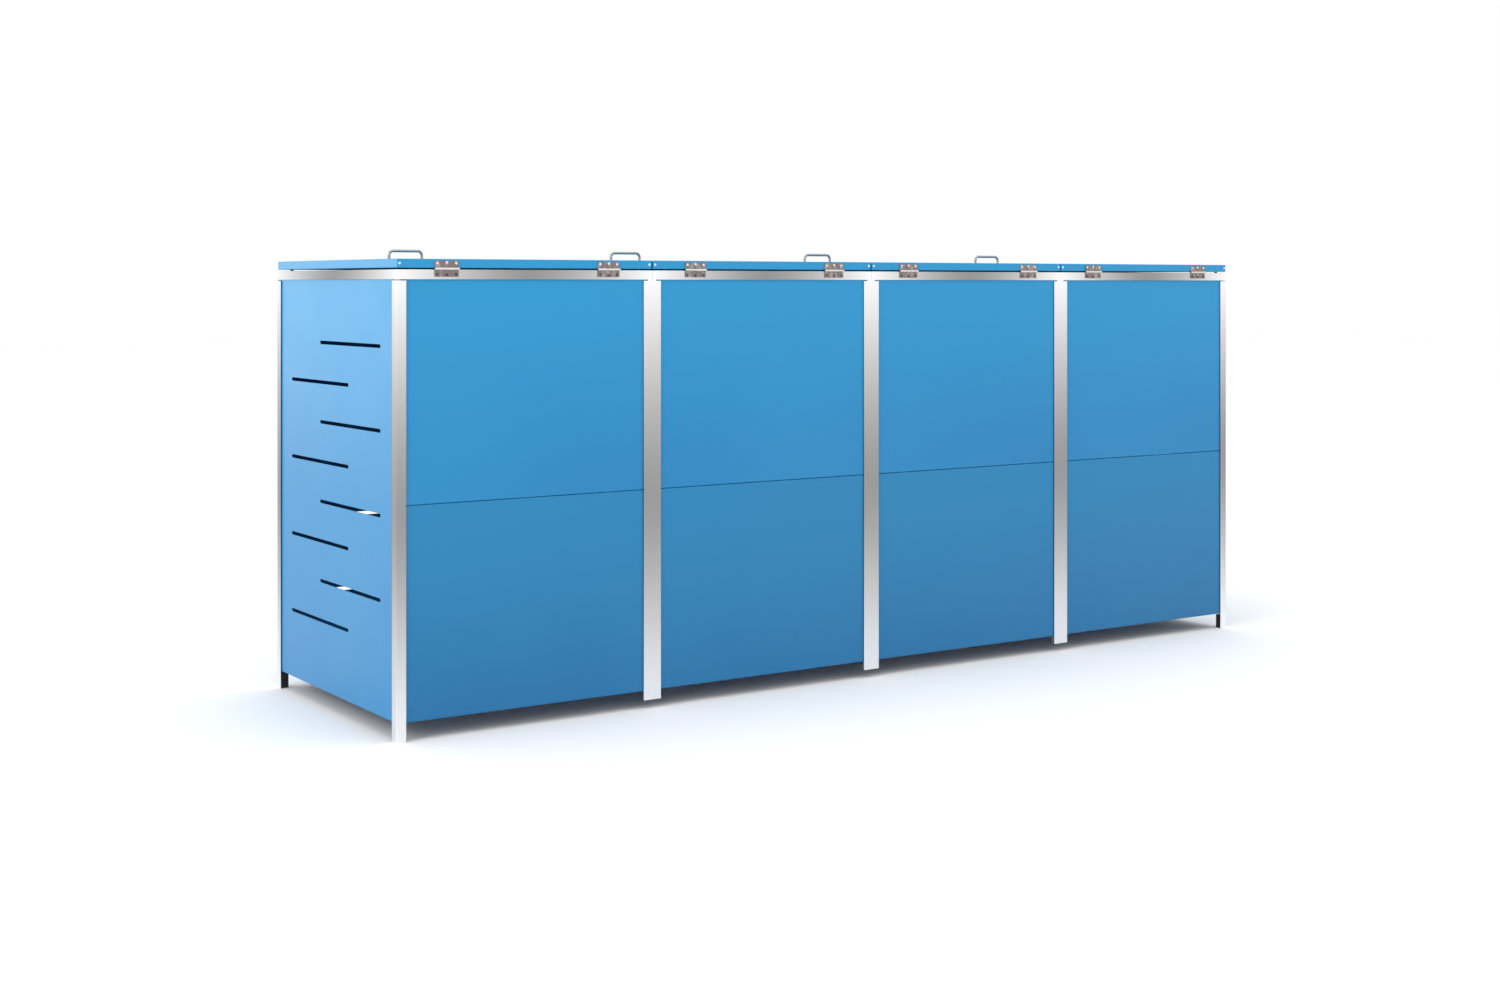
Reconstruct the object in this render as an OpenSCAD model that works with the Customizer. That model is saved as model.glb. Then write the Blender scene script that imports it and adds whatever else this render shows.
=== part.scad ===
// Four-bay outdoor bin store: a stainless steel frame, powder-coated sheet
// panels, a hinged lid and a hinged, slotted, lockable door on every bay.
// +Z is up, the doors face -Y and the lids are hinged along the +Y side.
// The origin is the middle of the overall bounding box, on the ground.

/* [Body] */
// Width over the outer faces of the end posts
body_w = 2765; // [2200:5:3300]
// Depth from the front faces of the posts to the rear ones
body_d = 775; // [600:5:950]
// Height from the ground to the top of the lids
body_h = 1125; // [900:5:1400]

/* [Frame] */
// Width of a post's face
post_w = 25; // [20:1:40]
// Wall of the posts, strips and rails
frame_t = 1.5; // [1:0.5:3]
// Height of the top rails
rail_h = 23; // [18:1:40]
// Width of the rails' flat upper leg
rail_leg = 25; // [20:1:40]
// Gap between a post's top and the rail over it
post_gap = 3; // [1:0.5:5]
// Height above the ground at which the cover strips end
strip_clear = 22; // [10:1:40]
// Side of the square tube in the posts between bays
tube_side = 25; // [20:1:30]
// Wall of that tube
tube_t = 1.2; // [1:0.1:2]

/* [Panels] */
// Thickness of the panel sheet
sheet_t = 1; // [0.8:0.1:2]
// Depth of the folds round a panel
panel_fold = 9; // [9:1:12]
// Height above the ground at which the panels and doors end
ground_clear = 45; // [42:1:90]
// Height of the seam between the upper and lower rear panels
seam_z = 550; // [400:5:700]
// Gap at that seam
seam_gap = 1; // [0.5:0.5:3]
// How far a panel runs up behind the top rail
rail_lap = 16; // [6:1:20]
// Distance from the frame's inner faces back to the panels
panel_recess = 2; // [0:0.5:3]

/* [Ventilation slots] */
// Number of slots in a side panel or door
slot_count = 8; // [4:1:8]
// Height of a slot
slot_w = 9; // [5:0.5:12]
// Length of a slot in a side panel
side_slot_len = 380; // [200:5:400]
// Height of a side panel's lowest slot
side_slot_z = 219; // [150:1:230]
// Distance from a side panel's top edge to its highest slot
side_slot_drop = 174; // [100:1:220]
// Distance from a side panel's edge to the near end of its slots
side_slot_margin = 86.5; // [40:0.5:110]
// Length of a slot in a door
door_slot_len = 350; // [200:5:380]
// Height of a door's lowest slot
door_slot_z = 245; // [150:1:260]
// Distance from a door's top edge to its highest slot
door_slot_drop = 129; // [80:1:180]
// Distance from a door's edge to the near end of its slots
door_slot_margin = 58; // [50:1:70]

/* [Lids] */
// Thickness of the lid sheet
lid_t = 1.2; // [1:0.1:2]
// Height of a lid's skirt
lid_skirt = 21.5; // [18:0.5:35]
// Width of the fold at the skirt's foot
lid_return = 12; // [8:1:18]
// Gap between neighbouring lids
lid_gap = 4; // [2:0.5:8]
// Gap between the skirt and the rail, which the buffers fill
lid_lift = 3.5; // [2:0.5:4]
// Radius of a rubber buffer
buffer_r = 4.5; // [3:0.5:5]

/* [Doors] */
// Depth of a door's folded edges
door_fold = 18; // [12:1:18]
// Gap between a door and the post beside it
door_gap = 2.5; // [2:0.5:4]
// Gap between a door and the rail over it
door_top_gap = 3; // [2:0.5:6]

/* [Handles] */
// Distance between a handle's two legs
handle_span = 96; // [64:1:160]
// Height of a handle above its sheet
handle_h = 35; // [28:1:50]
// Diameter of the handle's rod
handle_d = 8; // [6:0.5:12]
// Bend radius on the rod's centreline
handle_bend = 12; // [10:1:14]
// Distance from a lid's front edge to its handle
lid_handle_inset = 45; // [25:1:90]
// Distance from a door's free edge to its handle
door_handle_inset = 32; // [28:1:45]
// Distance from a door's top edge to the middle of its handle
door_handle_drop = 133; // [90:1:200]

/* [Hinges] */
// Length of a hinge along its pin
hinge_len = 62; // [50:1:100]
// Width of a hinge leaf from the pin's axis
leaf_reach = 19; // [15:1:20]
// Thickness of a leaf
leaf_t = 1.5; // [1:0.1:2]
// Outer radius of the knuckles
knuckle_r = 3; // [2.8:0.1:4]
// Radius of the hinge pin
pin_r = 1.75; // [1.2:0.05:1.9]
// Distance from a bay's edge to the middle of a lid hinge
lid_hinge_inset = 127; // [60:1:200]
// Distance from a door's top or bottom edge to the middle of a hinge
door_hinge_inset = 125; // [60:1:250]

/* [Locks] */
// Radius of the lock's collar
lock_collar_r = 11; // [10:0.5:14]
// Radius of the lock's body
lock_body_r = 9; // [8:0.5:10]
// Radius of the turning plug
lock_plug_r = 6; // [4:0.5:7]
// Distance from a door's top edge to its lock
lock_drop = 225; // [190:1:260]
// Width of the cam
cam_w = 14; // [10:1:16]
// Thickness of the cam
cam_t = 2; // [1.5:0.5:3]

/* [Feet] */
// Distance from a corner post's free edges to its foot
foot_inset = 0.5; // [0:0.5:4]
// Height of a foot in a corner post
foot_h = 40; // [25:1:41]
// Height of the pad under a post between bays
foot_pad = 3; // [2:0.5:6]

/* [Hidden] */
$fn = 48;

// Clearances
BAYS = 4;
slip = 0.5;          // between a panel and the tube beside it
knuckle_slip = 0.3;  // between neighbouring knuckles
pin_slip = 0.07;     // round a hinge pin
plug_slip = 0.1;     // round a lock's plug
knuckle_lift = 0.2;  // between the knuckles and the faces behind them
cut = 1;             // how far a cutter runs past the face that it cuts

// Width and places along X
bay_w = body_w / BAYS;
end_x = body_w / 2;
inner_x = end_x - frame_t;
function edge_x(i) = end_x - i * bay_w;       // edge i of the bays, from +X
function bay_x(i) = end_x - (i - 0.5) * bay_w; // middle of bay i, from 1 to 4

// Depth: the doors' handles and the lids' hinges set the bounding box
pin_out = knuckle_r + knuckle_lift;
depth_shift = (handle_h - pin_out - knuckle_r) / 2;
front_y = depth_shift - body_d / 2;
rear_y = depth_shift + body_d / 2;
front_in = front_y + frame_t;
rear_in = rear_y - frame_t;
mid_y = (front_y + rear_y) / 2;

// Heights
lid_foot = body_h - lid_skirt;
rail_top = lid_foot - lid_lift;
rail_foot = rail_top - rail_h;
rail_under = rail_top - frame_t;
post_top = rail_foot - post_gap;
panel_top = rail_foot + rail_lap;
door_top = rail_foot - door_top_gap;

// A panel ends beside a tube between bays, or at a corner beside the fold of
// the panel round that corner
tube_margin = tube_side / 2 + slip;
corner_margin = frame_t + panel_recess + panel_fold + slip;
side_panel_d = body_d - 2 * corner_margin;
function panel_margin(edge) =
    edge == 0 || edge == BAYS ? corner_margin : tube_margin;

// Doors
door_w = bay_w - 2 * post_w - 2 * door_gap;
door_h = door_top - ground_clear;
door_pin_z = [ground_clear + door_hinge_inset, door_top - door_hinge_inset];

// Hinges
knuckles = 5;
knuckle_len = hinge_len / knuckles;
leaf_root = knuckle_r + slip;
pin_head_r = knuckle_r - 0.4;
pin_head_t = 1;

// Locks
collar_t = 2;
plug_face_t = 1;
key_slot = [1.6, 7, 1.2];
lock_depth = door_fold + 1;
lock_nut_t = 4;
lock_nut_r = lock_body_r + 4;
cam_y = lock_depth + 0.5;
keeper_side = 3;      // from the door's edge to the keeper
keeper_w = post_w + door_gap - keeper_side - slip
           - max(tube_margin, corner_margin);
keeper_h = 40;
keeper_t = 2;
keeper_y = cam_y - keeper_t - 1.5;
cam_len = door_handle_inset + keeper_side + keeper_w - keeper_t;

// Corner feet
foot_side = post_w - frame_t - foot_inset;

// Seam bolts
bolt_r = 2;
bolt_slip = 0.25;
bolt_head_r = 4;
bolt_head_t = 2.8;
bolt_nut_t = 3.2;
bolt_tail = 1.5;
bolt_spread = 220;
panel_y = rear_in - panel_recess;
bolt_y = panel_y - sheet_t - (panel_fold - sheet_t) / 2;

// Cleats in the corner posts
cleat_side = 10;
cleat_t = 2;
cleat_len = 58;

// ---------------------------------------------------------------- helpers

// A box from one corner to the opposite one.
module block(low, high) {
    translate(low) cube(high - low);
}

// A sheet with folded edges: its face lies on z = 0 and the folds run to +z.
module tray(w, h, fold, t) {
    difference() {
        translate([-w / 2, 0, 0]) cube([w, h, fold]);
        translate([t - w / 2, t, t]) cube([w - 2 * t, h - 2 * t, fold]);
    }
}

// One slot with round ends, centred, cut along z.
module slot(len) {
    run = (len - slot_w) / 2;
    translate([0, 0, -cut]) linear_extrude(sheet_t + 2 * cut) {
        translate([-run, -slot_w / 2]) square([2 * run, slot_w]);
        for (s = [-1, 1]) translate([s * run, 0]) circle(d = slot_w);
    }
}

// A staggered column of slots between two heights, in a sheet of width w: the
// lowest slot starts at the margin on the side that the sign side gives.
module slot_column(w, len, margin, low, high, side) {
    pitch = (high - low) / (slot_count - 1);
    for (k = [0 : slot_count - 1]) {
        s = (k % 2 == 0) ? side : -side;
        translate([s * (w / 2 - margin - len / 2), low + k * pitch, 0])
            slot(len);
    }
}

// A bow handle on z = 0, its legs apart along x.
module bow_handle() {
    rise = handle_h - handle_d / 2;
    leg = rise - handle_bend;
    half = handle_span / 2;
    for (s = [-1, 1]) {
        translate([s * half, 0, 0]) cylinder(d = handle_d, h = leg);
        translate([s * (half - handle_bend), 0, leg])
            rotate([90, 0, 0]) mirror([s < 0 ? 1 : 0, 0, 0])
                rotate_extrude(angle = 90)
                    translate([handle_bend, 0]) circle(d = handle_d);
    }
    translate([handle_bend - half, 0, rise]) rotate([0, 90, 0])
        cylinder(d = handle_d, h = handle_span - 2 * handle_bend);
}

// One hinge leaf. The pin runs along x at y = pin_out, the leaf lies on the
// plane y = 0 and reaches to +z. Parity 0 takes the outer knuckles.
module leaf(parity) {
    low = -hinge_len / 2;
    difference() {
        union() {
            block([low, 0, leaf_root], [-low, leaf_t, leaf_reach]);
            for (k = [parity : 2 : knuckles - 1]) {
                a = low + k * knuckle_len + knuckle_slip / 2;
                b = a + knuckle_len - knuckle_slip;
                translate([a, pin_out, 0]) rotate([0, 90, 0])
                    cylinder(r = knuckle_r, h = b - a);
                block([a, knuckle_lift, 0], [b, leaf_t, leaf_root + cut]);
            }
        }
        translate([low - cut, pin_out, 0]) rotate([0, 90, 0])
            cylinder(r = pin_r + pin_slip, h = hinge_len + 2 * cut);
    }
}

// The leaf that stays on the frame, which reaches to -z.
module frame_leaf() {
    mirror([0, 0, 1]) leaf(0);
}

// A hinge pin with a head at each end.
module pin() {
    translate([-hinge_len / 2, pin_out, 0]) rotate([0, 90, 0])
        cylinder(r = pin_r, h = hinge_len);
    for (s = [-1, 1])
        translate([s * (hinge_len + pin_head_t) / 2, pin_out, 0])
            rotate([0, 90, 0])
                cylinder(r = pin_head_r, h = pin_head_t, center = true);
}

// Places its children on both lid hinges of bay i.
module at_lid_hinges(i) {
    for (s = [-1, 1])
        translate([bay_x(i) + s * (bay_w / 2 - lid_hinge_inset), rear_y,
                   rail_top + lid_lift / 2])
            children();
}

// Places its children on both door hinges of bay i: the moving leaf's +z
// direction becomes +X and the leaf's face looks to -Y.
module at_door_hinges(i) {
    for (z = door_pin_z)
        translate([edge_x(i) + post_w + door_gap / 2, front_y, z])
            rotate([0, 90, 0]) mirror([0, 1, 0]) children();
}

// ------------------------------------------------------------------ frame

// An angle with its corner at the origin and its legs along +x and +y.
module angle(leg, t, len) {
    cube([leg, t, len]);
    cube([t, leg, len]);
}

// A corner post; sx and sy are the signs of its corner.
module corner_post(sx, sy) {
    color("gainsboro")
        translate([sx * end_x, sy > 0 ? rear_y : front_y, 0])
            mirror([sx > 0 ? 1 : 0, 0, 0]) mirror([0, sy > 0 ? 1 : 0, 0])
                angle(post_w, frame_t, post_top);
}

// The square tubes between bays on one side of the store.
module mid_posts(face, sy, foot) {
    for (i = [1 : BAYS - 1])
        translate([edge_x(i), face - sy * tube_side / 2, foot])
            difference() {
                translate([-tube_side / 2, -tube_side / 2, 0])
                    cube([tube_side, tube_side, rail_under - foot]);
                translate([tube_t - tube_side / 2, tube_t - tube_side / 2,
                           -cut])
                    cube([tube_side - 2 * tube_t, tube_side - 2 * tube_t,
                          rail_under - foot + 2 * cut]);
            }
}

module rear_mid_posts() {
    color("gainsboro") mid_posts(rear_in, 1, strip_clear);
}

module front_mid_posts() {
    color("gainsboro") mid_posts(front_in, -1, foot_pad);
}

// The flat strips over the joints between bays.
module cover_strips(low_y) {
    for (i = [1 : BAYS - 1])
        block([edge_x(i) - post_w, low_y, strip_clear],
              [edge_x(i) + post_w, low_y + frame_t, post_top]);
}

module rear_cover_strips() {
    color("gainsboro") cover_strips(rear_in);
}

module front_cover_strips() {
    color("gainsboro") cover_strips(front_y);
}

// The rail segments over one long side; sy is the side's sign.
module long_rails(sy) {
    joint = slip / 2;
    for (i = [1 : BAYS]) {
        low = edge_x(i) + (i == BAYS ? 0 : joint);
        high = edge_x(i - 1) - (i == 1 ? 0 : joint);
        face = sy > 0 ? rear_in : front_y;
        leg = sy > 0 ? rear_in - rail_leg : front_in;
        block([low, face, rail_foot], [high, face + frame_t, rail_top]);
        block([max(low, -inner_x), leg, rail_under],
              [min(high, inner_x), leg + rail_leg, rail_top]);
    }
}

module rear_top_rails() {
    color("gainsboro") long_rails(1);
}

module front_top_rails() {
    color("gainsboro") long_rails(-1);
}

// Two end rails and, over each joint between bays, a tee.
module cross_top_rails() {
    low = front_in + rail_leg;
    high = rear_in - rail_leg;
    color("gainsboro") {
        for (s = [-1, 1]) mirror([s < 0 ? 1 : 0, 0, 0]) {
            block([inner_x, front_in, rail_foot], [end_x, rear_in, rail_top]);
            block([inner_x - rail_leg, low, rail_under],
                  [inner_x, high, rail_top]);
        }
        for (i = [1 : BAYS - 1]) {
            x = edge_x(i);
            block([x - rail_leg, low, rail_under],
                  [x + rail_leg, high, rail_top]);
            block([x - frame_t / 2, front_in + tube_side, rail_foot],
                  [x + frame_t / 2, rear_in - tube_side, rail_under]);
        }
    }
}

// A cleat in each corner ties a post to the rails over it.
module corner_cleats() {
    color("silver")
        for (sx = [-1, 1], sy = [-1, 1])
            translate([sx * inner_x, sy > 0 ? rear_in : front_in,
                       rail_under - cleat_len])
                mirror([sx > 0 ? 1 : 0, 0, 0])
                    mirror([0, sy > 0 ? 1 : 0, 0])
                        angle(cleat_side, cleat_t, cleat_len);
}

// A corner foot, with its outer corner at the origin.
module corner_foot() {
    bevel = foot_side / 4;
    linear_extrude(foot_h)
        polygon([[0, 0], [foot_side, 0], [foot_side, foot_side - bevel],
                 [foot_side - bevel, foot_side], [0, foot_side]]);
}

// Feet in the corner posts, and plugs in the tubes along the front.
module post_feet() {
    plug = tube_side - 2 * tube_t - slip;
    plug_h = 17;
    color([0.08, 0.08, 0.09]) {
        for (sx = [-1, 1], sy = [-1, 1])
            translate([sx * inner_x, sy > 0 ? rear_in : front_in, 0])
                mirror([sx > 0 ? 1 : 0, 0, 0])
                    mirror([0, sy > 0 ? 1 : 0, 0]) corner_foot();
        for (i = [1 : BAYS - 1])
            translate([edge_x(i), front_in + tube_side / 2, 0]) {
                translate([-tube_side / 2, -tube_side / 2, 0])
                    cube([tube_side, tube_side, foot_pad]);
                translate([-plug / 2, -plug / 2, 0])
                    cube([plug, plug, foot_pad + plug_h]);
            }
    }
}

// Rubber buffers on the rails, four under each lid.
module lid_buffers() {
    seat = lid_t + lid_return / 2;
    run = bay_w / 2 - rail_leg - 3 * buffer_r;
    color([0.1, 0.1, 0.1])
        for (i = [1 : BAYS], s = [-1, 1], y = [front_y + seat, rear_y - seat])
            translate([bay_x(i) + s * run, y, rail_top])
                cylinder(r = buffer_r, h = lid_lift);
}

// ----------------------------------------------------------------- panels

// Holes for the seam bolts in a rear panel's fold, in the panel's own frame.
module seam_holes(z) {
    for (k = [-1 : 1])
        translate([k * bolt_spread, z, panel_y - bolt_y])
            rotate([90, 0, 0])
                cylinder(r = bolt_r + bolt_slip, h = 4 * sheet_t,
                         center = true);
}

// A rear panel of bay i between two heights, its seam fold drilled.
module rear_panel(i, low, high, seam_at_top) {
    h = high - low;
    left = edge_x(i) + panel_margin(i) - bay_x(i);
    right = edge_x(i - 1) - panel_margin(i - 1) - bay_x(i);
    color([0.24, 0.61, 0.84])
        translate([bay_x(i), panel_y, low]) rotate([90, 0, 0])
            difference() {
                translate([(left + right) / 2, 0, 0])
                    tray(right - left, h, panel_fold, sheet_t);
                seam_holes(seam_at_top ? h : 0);
            }
}

module rear_upper_panel(i) {
    rear_panel(i, seam_z + seam_gap / 2, panel_top, false);
}

module rear_lower_panel(i) {
    rear_panel(i, ground_clear, seam_z - seam_gap / 2, true);
}

// A slotted side panel; the lowest slot lies towards the front.
module side_panel(sx) {
    h = panel_top - ground_clear;
    color([0.36, 0.69, 0.89])
        translate([sx * (inner_x - panel_recess), mid_y, ground_clear])
            rotate([90, 0, -sx * 90])
                difference() {
                    tray(side_panel_d, h, panel_fold, sheet_t);
                    slot_column(side_panel_d, side_slot_len, side_slot_margin,
                                side_slot_z - ground_clear,
                                h - side_slot_drop, sx);
                }
}

// The bolts and nuts that join the upper and lower rear panels.
module seam_bolts() {
    under = seam_z - seam_gap / 2 - sheet_t;
    over = seam_z + seam_gap / 2 + sheet_t;
    color("silver")
        for (i = [1 : BAYS], k = [-1 : 1])
            translate([bay_x(i) + k * bolt_spread, bolt_y, 0]) {
                translate([0, 0, under - bolt_head_t])
                    cylinder(r = bolt_head_r, h = bolt_head_t, $fn = 6);
                translate([0, 0, under - bolt_head_t])
                    cylinder(r = bolt_r, h = over + bolt_nut_t + bolt_tail
                             - under + bolt_head_t);
                translate([0, 0, over]) difference() {
                    cylinder(r = bolt_head_r, h = bolt_nut_t, $fn = 6);
                    translate([0, 0, -cut])
                        cylinder(r = bolt_r + pin_slip,
                                 h = bolt_nut_t + 2 * cut);
                }
            }
}

// ------------------------------------------------------------------- lids

// A lid: a tray upside down, with a fold at the foot of its skirt.
module lid(i) {
    w = bay_w - lid_gap;
    reach = lid_t + lid_return;
    color([0.25, 0.63, 0.86]) difference() {
        block([bay_x(i) - w / 2, front_y, lid_foot],
              [bay_x(i) + w / 2, rear_y, body_h]);
        block([bay_x(i) - w / 2 + lid_t, front_y + lid_t, lid_foot + lid_t],
              [bay_x(i) + w / 2 - lid_t, rear_y - lid_t, body_h - lid_t]);
        block([bay_x(i) - w / 2 + reach, front_y + reach, lid_foot - cut],
              [bay_x(i) + w / 2 - reach, rear_y - reach, body_h - 2 * lid_t]);
    }
}

module lid_handle(i) {
    color("silver")
        translate([bay_x(i), front_y + lid_handle_inset, body_h])
            bow_handle();
}

module lid_hinge_leaves(i) {
    color("silver") at_lid_hinges(i) leaf(1);
}

// ------------------------------------------------------------------ doors

// Places its children at distance d from the door's top edge, on its face,
// over the handle's line near the free edge.
module on_door(i, d) {
    translate([bay_x(i) + door_w / 2 - door_handle_inset, front_y,
               door_top - d])
        children();
}

// A slotted door; the lowest slot lies towards the free edge at +X.
module door(i) {
    color([0.24, 0.61, 0.84]) difference() {
        translate([bay_x(i), front_y, ground_clear])
            rotate([90, 0, 180])
                difference() {
                    tray(door_w, door_h, door_fold, sheet_t);
                    slot_column(door_w, door_slot_len, door_slot_margin,
                                door_slot_z - ground_clear,
                                door_h - door_slot_drop, -1);
                }
        on_door(i, lock_drop) rotate([90, 0, 0])
            cylinder(r = lock_body_r + plug_slip, h = 2 * door_fold,
                     center = true);
    }
}

module door_handle(i) {
    color("silver") on_door(i, door_handle_drop)
        rotate([90, 90, 0]) bow_handle();
}

module door_hinge_leaves(i) {
    color("silver") at_door_hinges(i) leaf(1);
}

// The lock's collar and threaded body, and the nut inside the door.
module lock_body(i) {
    color("silver") on_door(i, lock_drop) rotate([-90, 0, 0]) {
        difference() {
            union() {
                translate([0, 0, -collar_t])
                    cylinder(r = lock_collar_r, h = collar_t);
                cylinder(r = lock_body_r, h = lock_depth);
            }
            translate([0, 0, -collar_t - cut])
                cylinder(r = lock_plug_r + plug_slip,
                         h = lock_depth + collar_t + 2 * cut);
        }
        translate([0, 0, sheet_t]) difference() {
            cylinder(r = lock_nut_r, h = lock_nut_t, $fn = 6);
            translate([0, 0, -cut])
                cylinder(r = lock_body_r + pin_slip,
                         h = lock_nut_t + 2 * cut);
        }
    }
}

// The turning plug, with its key slot and its cam, which hangs down.
module lock_plug(i) {
    face = -collar_t - plug_face_t;
    color("gray") on_door(i, lock_drop) rotate([-90, 0, 0]) {
        difference() {
            translate([0, 0, face])
                cylinder(r = lock_plug_r, h = cam_y + cam_t - face);
            translate([-key_slot[0] / 2, -key_slot[1] / 2, face - cut])
                cube([key_slot[0], key_slot[1], key_slot[2] + cut]);
        }
        translate([0, 0, cam_y]) linear_extrude(cam_t) {
            circle(d = cam_w);
            translate([-cam_w / 2, 0]) square([cam_w, cam_len]);
        }
    }
}

// The clips behind the posts' faces that the cams turn behind.
module lock_keepers() {
    color("silver")
        for (i = [1 : BAYS])
            translate([bay_x(i) + door_w / 2 + keeper_side, front_in,
                       door_top - lock_drop - keeper_h / 2]) {
                depth = keeper_y + keeper_t - frame_t;
                cube([keeper_w, keeper_t, keeper_h]);
                translate([keeper_w - keeper_t, 0, 0])
                    cube([keeper_t, depth, keeper_h]);
                translate([0, depth - keeper_t, 0])
                    cube([keeper_w, keeper_t, keeper_h]);
            }
}

// The leaves that stay on the rails and posts.
module fixed_hinge_leaves() {
    color("silver")
        for (i = [1 : BAYS]) {
            at_lid_hinges(i) frame_leaf();
            at_door_hinges(i) frame_leaf();
        }
}

module hinge_pins() {
    color("gray")
        for (i = [1 : BAYS]) {
            at_lid_hinges(i) pin();
            at_door_hinges(i) pin();
        }
}

// ------------------------------------------------------------------ nodes

corner_post(1, 1);  // corner_post_rear_left
corner_post(-1, 1);  // corner_post_rear_right
corner_post(-1, -1);  // corner_post_front_left
corner_post(1, -1);  // corner_post_front_right
rear_mid_posts();
front_mid_posts();
rear_cover_strips();
front_cover_strips();
rear_top_rails();
front_top_rails();
cross_top_rails();
side_panel(-1);  // side_panel_left
side_panel(1);  // side_panel_right
post_feet();
corner_cleats();
seam_bolts();
lid_buffers();
fixed_hinge_leaves();
hinge_pins();
lock_keepers();
for (i = [1 : BAYS]) {
    rear_upper_panel(i);
    rear_lower_panel(i);
    lid(i);
    lid_handle(i);
    lid_hinge_leaves(i);
    door(i);
    door_handle(i);
    door_hinge_leaves(i);
    lock_body(i);
    lock_plug(i);
}
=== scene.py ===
"""Looks of a four-bay store for wheeled bins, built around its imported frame.

The store is a stainless steel frame with powder-coated panels, a hinged lid and
a hinged, slotted, lockable door on every bay. Sheet parts are folded anew with
real bend radii, sections get rounded edges, and screws and rivets are added.
"""

from __future__ import annotations

import logging
import math
from dataclasses import dataclass, field
from enum import Enum

import bmesh
import bpy
from mathutils import Matrix, Vector

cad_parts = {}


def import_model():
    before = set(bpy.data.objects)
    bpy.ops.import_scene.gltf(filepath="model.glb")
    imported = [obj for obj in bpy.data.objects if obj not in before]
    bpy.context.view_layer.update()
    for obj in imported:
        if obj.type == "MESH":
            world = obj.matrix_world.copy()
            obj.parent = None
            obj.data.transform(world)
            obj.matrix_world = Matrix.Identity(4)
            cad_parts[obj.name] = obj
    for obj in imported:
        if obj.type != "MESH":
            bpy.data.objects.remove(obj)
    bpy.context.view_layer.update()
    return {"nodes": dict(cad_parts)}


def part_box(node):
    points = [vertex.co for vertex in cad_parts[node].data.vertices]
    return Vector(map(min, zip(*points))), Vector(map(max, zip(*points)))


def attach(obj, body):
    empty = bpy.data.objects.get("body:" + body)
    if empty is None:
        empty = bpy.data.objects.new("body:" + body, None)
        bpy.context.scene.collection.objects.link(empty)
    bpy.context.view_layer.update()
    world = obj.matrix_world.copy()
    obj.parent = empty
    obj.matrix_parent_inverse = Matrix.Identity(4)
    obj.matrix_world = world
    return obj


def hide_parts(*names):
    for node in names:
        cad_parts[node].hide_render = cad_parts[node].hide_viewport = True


LOG = logging.getLogger("bin_store")
MM = 0.001
BAYS = range(1, 5)
FRAME_BODY = "store_frame"
NOISE_MIDDLE = (0.3, 0.7)
SHARP_ANGLE = math.radians(60)

Colour = tuple[float, float, float]


class Axis(Enum):
    """A direction of the row frame."""

    X = 0
    Y = 1
    Z = 2


class Side(Enum):
    """An outward direction of the row frame."""

    LEFT = (-1, 0, 0)
    RIGHT = (1, 0, 0)
    FRONT = (0, -1, 0)
    REAR = (0, 1, 0)
    TOP = (0, 0, 1)
    UNDER = (0, 0, -1)

    @property
    def vector(self) -> Vector:
        """The direction as a vector."""
        return Vector(self.value)

    @property
    def axis(self) -> Axis:
        """The axis that it lies along."""
        return next(axis for axis in Axis if self.value[axis.value])


# ---------------------------------------------------------------- finishes


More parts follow.
